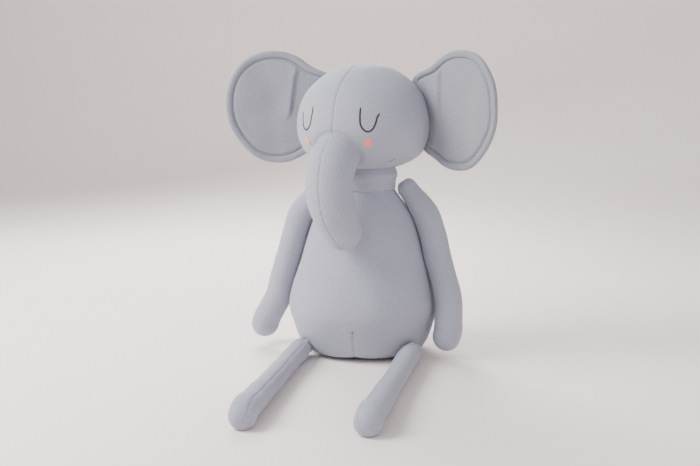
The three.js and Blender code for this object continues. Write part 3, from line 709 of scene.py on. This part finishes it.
def felt(name, colour, deep):
    """Brushed wool felt: matted fibres with no weave, so it is dull, mottled and soft-edged."""
    material, tree = new_material(name)
    cloth = add_node(tree, "UVMap", {}, uv_map="cloth").outputs[0]
    fibres = add_node(
        tree, "TexNoise", {"Vector": cloth, "Scale": 120.0, "Detail": 6.0, "Roughness": 0.7}
    ).outputs[0]
    bump = add_node(tree, "Bump", {"Height": fibres, "Strength": 0.7, "Distance": 0.0005}).outputs[0]
    shade = add_node(
        tree, "Mix", {0: fibres, 6: linear(deep), 7: linear(colour)}, data_type="RGBA"
    ).outputs[2]
    shader = add_node(tree, "BsdfPrincipled", {
        "Base Color": shade, "Normal": bump, "Roughness": 0.95,
        "Sheen Weight": 0.5, "Sheen Tint": linear("FFD9D0"),
    })
    add_node(tree, "OutputMaterial", {0: shader.outputs[0]})
    return material


black_thread = thread("stranded_embroidery_thread_black", "1B1B20")
coral_felt = felt("brushed_felt_coral", "F0A093", "D9776B")
for side, name in ((1, "left"), (-1, "right")):
    eye = smooth_line([
        face_point(side * (EYE_ANGLE + out / HEAD_RADIUS), EYE_HEIGHT + up) for out, up in EYE_STITCH
    ], 80)
    stitched = embroidered(f"eye_{name}_embroidery", f"eye_stitch_{name}", eye, EYE_WIDTH, black_thread)
    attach(stitched, "head")
    spread = SMILE_LENGTH / 2 / JOWL_RADIUS
    smile = np.array([
        face_point(side * (SMILE_ANGLE + step * spread), SMILE_HEIGHT + step * SMILE_LENGTH / 4)
        for step in (-1, 0, 1)
    ])
    stitched = embroidered(
        f"smile_{name}_embroidery", f"smile_stitch_{name}", smile, SMILE_WIDTH, black_thread
    )
    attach(stitched, "head")

    middle, out = on_cloth(head, face_point(side * CHEEK_ANGLE, CHEEK_HEIGHT))
    aside = np.cross((0, 0, 1), out)
    aside /= np.linalg.norm(aside)
    upright = np.cross(out, aside)
    turn = np.linspace(0, 2 * np.pi, 40, endpoint=False)
    rings, place = [], []
    for reach, lift in CHEEK_PROFILE:
        ragged = reach * CHEEK_RADIUS * (1 + 0.02 * np.sin(5 * turn + side) + 0.015 * np.sin(11 * turn))
        flat = [aside * r * math.cos(a) + upright * r * math.sin(a) for r, a in zip(ragged, turn)]
        ring = []
        for step in flat:
            spot, normal = on_cloth(head, middle + step)
            ring.append(spot + normal * lift)
        rings.append(ring)
        place.append(np.column_stack([ragged * np.cos(turn), ragged * np.sin(turn)]))
    place = np.array(place)
    cheek = cloth_bag(
        f"cheek_{name}_felt", np.array(rings), place, np.roll(place, -1, axis=1),
        np.zeros(place.shape[:2], int),
    )
    cheek.data.materials.append(coral_felt)
    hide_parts(f"cheek_dot_{name}")
    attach(cheek, "head")

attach(face_row, "head")
for panel in cut_panels(head, ["face_left", "face_right", "head_back"], grey_jersey):
    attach(panel, "head")


# ---------------------------------------------------------------- trunk

# A curved tube of two jersey panels, sewn to the face round its base and seamed down its middle. It
# is filled more softly than the head and its tip curls under.
TRUNK_LENGTH = 160
TRUNK_MIDDLE_RADIUS = 37
TRUNK_TIP_RADIUS = 31
TRUNK_START = 18
TRUNK_CURL = 98
TRUNK_SWAY = 24
TRUNK_STEPS = 40
TRUNK_SLACK = 2


def along_route(route, reference):
    """Bends a straight limb, whose axis is Z, so that it follows a route without twisting."""
    steps = np.linalg.norm(np.diff(route, axis=0), axis=1)
    reach = np.concatenate([[0], np.cumsum(steps)])
    heading = np.gradient(route, reach, axis=0)

    def shape(points):
        far = points[:, 2]
        at = np.clip(far, 0, reach[-1])
        middle = np.column_stack([np.interp(at, reach, route[:, k]) for k in range(3)])
        ahead = np.column_stack([np.interp(at, reach, heading[:, k]) for k in range(3)])
        ahead /= np.linalg.norm(ahead, axis=1)[:, None]
        across = np.cross(reference, ahead)
        across /= np.linalg.norm(across, axis=1)[:, None]
        over = np.cross(ahead, across)
        return middle + ahead * (far - at)[:, None] + across * points[:, :1] + over * points[:, 1:2]

    return shape


def limb_outline(root, middle, end, length, rows, root_from):
    """Radius and distance along a limb, from its round root to its round end."""
    back = np.radians(np.linspace(root_from, 90, 9)[:-1])
    start = np.column_stack([root * np.sin(back), root * np.cos(back)])
    sleeve = smooth_line([
        (root, 0), (root + 1.5, 14), ((root + middle) / 2 + 1.5, 30), (middle, 58),
        (middle, length / 2), (end, length - end),
    ], rows)
    round_end = np.radians(np.linspace(0, 88, 11)[1:])
    tip = np.column_stack([end * np.cos(round_end), length - end + end * np.sin(round_end)])
    return np.vstack([start, sleeve, tip])


def trunk_route():
    """The trunk leaves the face forwards, turns down, and its tip curls under towards the chest."""
    step = TRUNK_LENGTH / TRUNK_STEPS
    local = [np.zeros(3)]
    for number in range(TRUNK_STEPS):
        progress = (number + 0.5) / TRUNK_STEPS
        t = min(max((progress + 0.25) / 1.1, 0), 1)
        droop = math.radians(TRUNK_START + TRUNK_CURL * t * t * (3 - 2 * t))
        sway = math.radians(TRUNK_SWAY * progress)
        local.append(local[-1] + step * np.array([
            math.sin(sway), -math.cos(droop) * math.cos(sway), -math.sin(droop) * math.cos(sway),
        ]))
    return head_frame(np.array(local)) - neck_at + trunk_at


trunk_outline = limb_outline(
    TRUNK_ROOT_RADIUS, TRUNK_MIDDLE_RADIUS, TRUNK_TIP_RADIUS, TRUNK_LENGTH, 40, 150
)
slack_trunk = pulled_in(trunk_outline, TRUNK_SLACK)
sideways = head_frame(np.array([[1.0, 0, 0]]))[0] - neck_at
trunk_shape = along_route(trunk_route(), sideways)
trunk = turned_bag("trunk", slack_trunk, [
    (-math.pi / 2, math.pi / 2, 26, 0, 0),
    (math.pi / 2, 3 * math.pi / 2, 26, math.pi, 1),
], trunk_shape)
trunk_seams = [meridian(slack_trunk, angle, trunk_shape) for angle in (-math.pi / 2, math.pi / 2)]
stuff(trunk, trunk_seams, TRUNK_SLACK)
lumps(trunk, 1.3, 34, 5)
for seam in trunk_seams:
    sew(trunk, seam, 0.9, 2.0, 0.3, 5)
trunk_row = stitches(
    "trunk_seam_stitches", "trunk_seam_thread", trunk,
    meridian(slack_trunk, -math.pi / 2, trunk_shape, 18, TRUNK_LENGTH - 8), *FINE_STITCH, grey_thread,
)
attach(trunk_row, "trunk")
filling("trunk_filling", trunk_outline, trunk_shape, "trunk")
for panel in cut_panels(trunk, ["trunk_left", "trunk_right"], grey_jersey):
    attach(panel, "trunk")


# ---------------------------------------------------------------- ears

# Big flat ears: two layers of jersey over thin wadding, turned and topstitched inside the rim, so
# that the rim stands up as a roll. Their inner edges are gathered into the head seam, which leaves
# soft upright pleats.
EAR_WIDTH = 156
EAR_HEIGHT = 182
EAR_TUCK = 15
EAR_ROOT_RADIUS = 101
EAR_LEAN = math.radians(17)
EAR_CUP = 22
EAR_WAVE = 3
EAR_ROUND = 2.2
EAR_SEWN = 99
EAR_COLUMNS = 120
UNSTITCHED_COLUMNS = 20
FIELD_STEPS = 30
RIM_STEPS = [0, 0.6, 1.6, 3, 4.6, 6.2, 7.8, 9.2, 10.4, 11.1, 11.5, 11.9, 12.6, 13.8, 15.5, 18, 21]
RIM_INSET = 11.5
RIM_THICKNESS = 4.8
GROOVE = 0.9
PLEAT = (4.2, 12)
VALLEY = (1.8, 5)
TOP_STITCH = (3.0, 1.2, 0.8)
WADDING_STEPS = [15, 17, 21]
WADDING_SHARE = 0.2
EAR_CORNERS = [(156, 16, 0.32), (218, 12, 0.135), (312, 30, -0.08)]
EAR_FOLDS = {
    "left": (1, [(-14, 27), (17, 24), (60, 24)]),
    "right": (-1, [(-26, 46), (-7, 35), (17, 32), (47, 28), (68, 22)]),
}

# The ears use the same jersey in darker colours: painted shade over the whole ear.
shaded_ears_jersey = jersey("knitted_cotton_jersey_ear", "A4A6B2", "63656F")


def ear_rim(angle):
    """Distance from the ear's middle to its rim: a rounded oval, cut away a little at the bottom and
    drawn out to the two corners where it is sewn to the head."""
    wide = np.abs(np.cos(angle)) / (EAR_WIDTH / 2)
    high = np.abs(np.sin(angle)) / (EAR_HEIGHT / 2)
    oval = (wide**EAR_ROUND + high**EAR_ROUND) ** (-1 / EAR_ROUND)
    stretch = 1
    for at, width, amount in EAR_CORNERS:
        beside = (np.degrees(angle) - at + 180) % 360 - 180
        stretch = stretch + amount * np.exp(-((beside / width) ** 2))
    return oval * stretch


def ear_relief(inset, out, up, away, fold):
    """How far the ear's front stands out of its middle plane."""
    t = np.clip(np.abs(inset - RIM_INSET / 2) / (RIM_INSET / 2), 0, 1)
    roll = RIM_THICKNESS * (1 - t**2.6) ** 0.6
    field = GROOVE + 3.0 * eased((inset - RIM_INSET) / 5) + 1.4 * eased((inset - RIM_INSET) / 35)
    thick = np.where(inset < RIM_INSET, np.maximum(roll, GROOVE * (inset > 5)), field)
    thick = GROOVE + (thick - GROOVE) * eased((away + 4) / 14)
    facing, line = fold
    heights, places = zip(*line)
    over = facing * (np.interp(up, heights, places) - out)
    lap = eased((over + 1.5) / 3)
    pleat = PLEAT[0] * np.exp(-np.maximum(over, 0) / PLEAT[1]) * lap
    pleat = pleat - VALLEY[0] * np.exp(np.minimum(over, 0) / VALLEY[1]) * (1 - lap)
    pleat = pleat * eased((up - heights[0]) / 26)
    gathers = 0.8 * np.sin(up / 5) * np.exp(-np.abs(away) / 6) - 1.4 * np.exp(-(((away - 5) / 3) ** 2))
    return np.where(inset > 0, thick + (pleat + gathers) * eased((inset - RIM_INSET) / 8), 0)


def ear_rings(side, fold, height, insets, share, columns):
    """Rings over an ear's front and back, from the middle of one to the middle of the other, with a
    share of the full relief."""
    turn = np.linspace(0, 2 * np.pi, columns, endpoint=False)
    rim = ear_rim(turn)
    reaches = [1 - inset / rim for inset in insets]
    reaches += [reaches[-1] * t for t in np.linspace(1, 0.02, FIELD_STEPS)[1:]]
    rings, place, panels = [], [], []
    for face, reach in [(1, reach) for reach in reversed(reaches)] + [(-1, reach) for reach in reaches[1:]]:
        out = EAR_WIDTH / 2 - EAR_TUCK + reach * rim * np.cos(turn)
        up = reach * rim * np.sin(turn)
        away = out + EAR_ROOT_RADIUS - np.interp(up + height, rise[:, 1], rise[:, 0], right=0)
        relief = face * share * ear_relief((1 - reach) * rim, out, up, away, fold)
        cup = EAR_CUP * (np.maximum(out, 0) / EAR_WIDTH) ** 2
        cup += [
            EAR_WAVE * noise.noise(Vector((a / 45, b / 45, 7 + side))) * eased(a / 60)
            for a, b in zip(out, up)
        ]
        c, s = math.cos(EAR_LEAN), -math.sin(EAR_LEAN)
        spun = np.column_stack([out * c + (relief + cup) * s, out * s - (relief + cup) * c, up])
        spun += (EAR_ROOT_RADIUS, EAR_SEAM, height)
        rings.append(head_frame(spun * (side, 1, 1)))
        place.append(np.column_stack([out, up]))
        panels.append(np.full(columns, 0 if face > 0 else 1))
    return np.array(rings), np.array(place), np.array(panels)


rise = smooth_line(HEAD_OUTLINE, 200)
for side, name in ((1, "left"), (-1, "right")):
    ear_height = float(joint_at[f"ear_{name}_flap"][2] - neck_at[2])
    rings, place, panels = ear_rings(side, EAR_FOLDS[name], ear_height, RIM_STEPS, 1, EAR_COLUMNS)
    ear = cloth_bag(f"ear_{name}", rings, place, np.roll(place, -1, axis=1), panels)
    refine(ear, 1)
    stitch_line = rings[FIELD_STEPS + len(RIM_STEPS) - 2 - RIM_STEPS.index(RIM_INSET)]
    stitched = EAR_COLUMNS - UNSTITCHED_COLUMNS
    stitch_line = np.roll(stitch_line, stitched // 2, axis=0)[:stitched]
    row = stitches(
        f"ear_{name}_topstitching", f"ear_{name}_topstitch", ear, stitch_line, *TOP_STITCH, grey_thread
    )
    root = head_frame(np.array([[side * EAR_SEWN, EAR_SEAM, ear_height]]))[0] / 1000
    pieces = cut_panels(ear, [f"ear_{name}_front", f"ear_{name}_back"], shaded_ears_jersey)
    rings, place, panels = ear_rings(
        side, EAR_FOLDS[name], ear_height, WADDING_STEPS, WADDING_SHARE, EAR_COLUMNS // 2
    )
    wad = cloth_bag(f"ear_{name}_wadding_fibre", rings, place, np.roll(place, -1, axis=1), 0 * panels)
    wad.data.materials.append(white_fibre)
    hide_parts(f"ear_{name}_wadding")
    for piece in (*pieces, wad, row):
        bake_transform(piece)


# ---------------------------------------------------------------- arms

# Long tubes of jersey, softly filled, that hang from the sides of the neck down the flanks. Each is
# gathered at the top and sewn into the shoulder.
ARM_LENGTH = 270
ARM_ROOT_RADIUS = 11
SHOULDER_RADIUS = 16.5
SHOULDER_SHIFT = (-1, 0, 3)
ARM_RADIUS = 22.5
HAND_RADIUS = 23.5
HAND_LIFT = 0.8
ARM_PRESS = 4
LIMB_SLACK = 1.3
LIMB_STITCH = (2.2, 1.8, 0.7)
LIMB_FILLING_DEPTH = 6
LIMB_STITCHED_FROM = 20
ARM_HANDS = {"left": (-2, 58), "right": (27, 0)}


def gathered(shape, pleats, depth, reach):
    """Small pleats round the root of a limb, where its cloth is drawn up."""
    def pleated(points):
        angle = np.arctan2(points[:, 1], points[:, 0])
        fade = np.exp(-(np.maximum(points[:, 2], 0) / reach) ** 1.3)
        swell = 1 + depth * fade * (np.cos(pleats * angle) + 0.5 * np.cos((pleats + 4) * angle + 1))
        return shape(points * np.column_stack([swell, swell, np.ones(len(points))]))
    return pleated


def arm_route(side, flare, forward):
    """The arm follows the flank down to the belly, and below it goes straight on."""
    shoulder = joint_at["arm_left_swing"]
    sleeve = limb_outline(ARM_ROOT_RADIUS, ARM_RADIUS, HAND_RADIUS, ARM_LENGTH, 40, 91)
    points = [shoulder + SHOULDER_SHIFT]
    travelled, step = 0, 22
    belly = TORSO_OUTLINE[4][1]
    while travelled < ARM_LENGTH - HAND_RADIUS:
        last = points[-1]
        height = max(last[2] - step, HAND_RADIUS + HAND_LIFT)
        below = max(belly - height, 0) * math.tan(math.radians(flare))
        side_radius = max(np.interp(max(height, belly), flank[:, 1], flank[:, 0]), shoulder[0])
        slope = (side_radius - np.interp(max(height, belly) + step, flank[:, 1], flank[:, 0])) / step
        stand = np.interp(travelled + step, sleeve[:, 1], sleeve[:, 0]) - ARM_PRESS
        stand *= math.hypot(1, max(slope, 0))
        ahead = forward * min((travelled + step) / ARM_LENGTH, 1) ** 1.5
        out = side_radius + stand + below if height < last[2] else last[0] + step
        points.append(np.array([out, torso_lean - ahead, height]))
        travelled += np.linalg.norm(points[-1] - last)
    return smooth_line(points, 60) * (side, 1, 1)


def limb(name, outline, shape, seam_angle, seed, seam_to):
    """One filled tube with a single seam, gathered at its root."""
    slack = pulled_in(outline, LIMB_SLACK)
    gore = (seam_angle, seam_angle + 2 * math.pi, 36, seam_angle + math.pi, 0)
    tube = turned_bag(name, slack, [gore], shape)
    seam = meridian(slack, seam_angle, shape)
    root = shape(np.array([[math.cos(a) * 8, math.sin(a) * 8, 0] for a in np.linspace(0, 6, 30)]))
    stuff(tube, [seam, root], LIMB_SLACK)
    lumps(tube, 1.1, 34, seed)
    sew(tube, seam, 0.7, 2.0, 0.1, 8)
    rest_on_seat(tube)
    sewn = meridian(slack, seam_angle, shape, LIMB_STITCHED_FROM, seam_to)
    row = stitches(f"{name}_seam_stitches", f"{name}_seam", tube, sewn, *LIMB_STITCH, grey_thread)
    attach(row, name)
    tube.name = f"{name}_jersey"
    tube.data.materials.clear()
    tube.data.materials.append(grey_jersey)
    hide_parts(f"{name}_cover")
    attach(tube, name)
    filling(f"{name}_filling", outline, shape, name, LIMB_FILLING_DEPTH)


for side, name in ((1, "left"), (-1, "right")):
    outline = limb_outline(SHOULDER_RADIUS, ARM_RADIUS, HAND_RADIUS, ARM_LENGTH, 58, 150)
    shape = gathered(along_route(arm_route(side, *ARM_HANDS[name]), (0, 1, 0)), 9, 0.07, 26)
    limb(f"arm_{name}", outline, shape, math.pi, 20 + side, ARM_LENGTH - HAND_RADIUS)


# ---------------------------------------------------------------- legs

# Longer and thinner tubes that lie on the seat in front of the torso, thicker at the feet, gathered
# and sewn in at the hips.
LEG_LENGTH = 368
LEG_ROOT_RADIUS = 10
HIP_RADIUS = 16
LEG_RADIUS = 17.5
FOOT_RADIUS = 20.5
LEG_SEAMS = {"left": 215, "right": 145}
LEG_SPLAYS = {"left": -2.5, "right": 0.5}


def leg_route(side, splay):
    """The leg lies on the seat, straight out in front."""
    sleeve = limb_outline(LEG_ROOT_RADIUS, LEG_RADIUS, FOOT_RADIUS, LEG_LENGTH, 40, 91)
    hip = joint_at["leg_left_raise"]
    points = []
    for far in np.linspace(0, LEG_LENGTH, 13):
        radius = np.interp(far, sleeve[:, 1], sleeve[:, 0])
        height = max(radius + 0.7, hip[2] if far == 0 else 0)
        out = hip[0] + far * math.sin(math.radians(splay))
        points.append((side * out, hip[1] - far * math.cos(math.radians(splay)), height))
    return smooth_line(points, 80)


for side, name in ((1, "left"), (-1, "right")):
    outline = limb_outline(HIP_RADIUS, LEG_RADIUS, FOOT_RADIUS, LEG_LENGTH, 76, 150)
    shape = gathered(along_route(leg_route(side, LEG_SPLAYS[name]), (0, 0, 1)), 8, 0.06, 22)
    seam_angle = math.radians(LEG_SEAMS[name])
    limb(f"leg_{name}", outline, shape, seam_angle, 30 + side, LEG_LENGTH - FOOT_RADIUS)


# ---------------------------------------------------------------- limb roots

# A small tuft of the same jersey where each limb is tied off and sewn into the torso.
ROOT_LENGTH = 16
ROOT_RADIUS = 7

for side, name in ((1, "left"), (-1, "right")):
    for part, joint, body in (("arm", f"arm_{name}_swing", "shoulder"), ("leg", f"leg_{name}_raise", "hip")):
        outline = np.array([
            (0.5, -ROOT_LENGTH), (ROOT_RADIUS, -ROOT_LENGTH + 1), (ROOT_RADIUS, -ROOT_LENGTH / 2),
            (ROOT_RADIUS - 1, -2), (ROOT_RADIUS - 2, 2), (ROOT_RADIUS / 2, 5), (0.5, 6),
        ])
        outline = np.vstack([outline[:1], smooth_line(outline[1:-1], 24), outline[-1:]])

        def tuft(points, at=joint_at[joint], side=side):
            angle = np.arctan2(points[:, 1], points[:, 0])
            swell = 1 + 0.06 * np.cos(8 * angle)
            return np.column_stack([side * points[:, 2], points[:, 0] * swell, points[:, 1] * swell]) + at

        root = turned_bag(f"{part}_{name}_root_jersey", outline, [(0, 2 * math.pi, 40, math.pi, 0)], tuft)
        root.data.materials.append(grey_jersey)
        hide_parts(f"{part}_{name}_root")
        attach(root, f"{body}_{name}")


# ---------------------------------------------------------------- floor and light

# A pale sweep of painted board that the toy sits on, large soft window lights from the toy's right
# and from behind it, a weak fill from the other side, and a little light thrown back from the front.
FLOOR_DEPTH = 2.2
FLOOR_WIDTH = 6

sweep = smooth_line([
    (-4, 0), (0, 0), (FLOOR_DEPTH - 0.6, 0), (FLOOR_DEPTH, 0.25),
    (FLOOR_DEPTH + 0.25, 1), (FLOOR_DEPTH + 0.3, 3),
], 60)
edge = [(x, y, z) for y, z in sweep for x in (-FLOOR_WIDTH, FLOOR_WIDTH)]
floor_mesh = bpy.data.meshes.new("floor")
floor_mesh.from_pydata(edge, [], [(2 * k, 2 * k + 1, 2 * k + 3, 2 * k + 2) for k in range(len(sweep) - 1)])
floor_mesh.polygons.foreach_set("use_smooth", [True] * len(floor_mesh.polygons))
floor = bpy.data.objects.new("floor", floor_mesh)
bpy.context.scene.collection.objects.link(floor)
board, tree = new_material("painted_board_pale")
grain = add_node(tree, "TexNoise", {"Scale": 40.0, "Detail": 4.0}).outputs[0]
tone = add_node(
    tree, "Mix", {0: grain, 6: linear("F7EBE6"), 7: linear("FBF1ED")}, data_type="RGBA"
).outputs[2]
shader = add_node(tree, "BsdfPrincipled", {"Base Color": tone, "Roughness": 0.8})
add_node(tree, "OutputMaterial", {0: shader.outputs[0]})
floor_mesh.materials.append(board)

world = bpy.data.worlds.new("studio")
bpy.context.scene.world = world
world.use_nodes = True
world.node_tree.nodes["Background"].inputs[0].default_value = linear("F6F4F6")
world.node_tree.nodes["Background"].inputs[1].default_value = 0.65


def lamp(name, at, towards, size, power, colour):
    light = bpy.data.lights.new(name, "AREA")
    light.shape = "DISK"
    light.size = size
    light.energy = power
    light.color = linear(colour)[:3]
    holder = bpy.data.objects.new(name, light)
    holder.location = at
    holder.rotation_euler = (Vector(towards) - Vector(at)).to_track_quat("-Z", "Y").to_euler()
    bpy.context.scene.collection.objects.link(holder)


lamp("window", (-1.3, -0.6, 1.3), (0, 0, 0.25), 1.2, 58, "FFFDFA")
lamp("back_window", (-0.6, 1.3, 1.2), (0, 0, 0.3), 1.0, 46, "FFFFFF")
lamp("fill", (1.6, -1.2, 0.8), (0, 0, 0.25), 1.4, 10, "FAF8FF")
lamp("front_bounce", (-0.3, -1.7, 0.9), (0, -0.35, 0), 0.8, 5, "FFFFFF")

bpy.context.scene.frame_set(1)
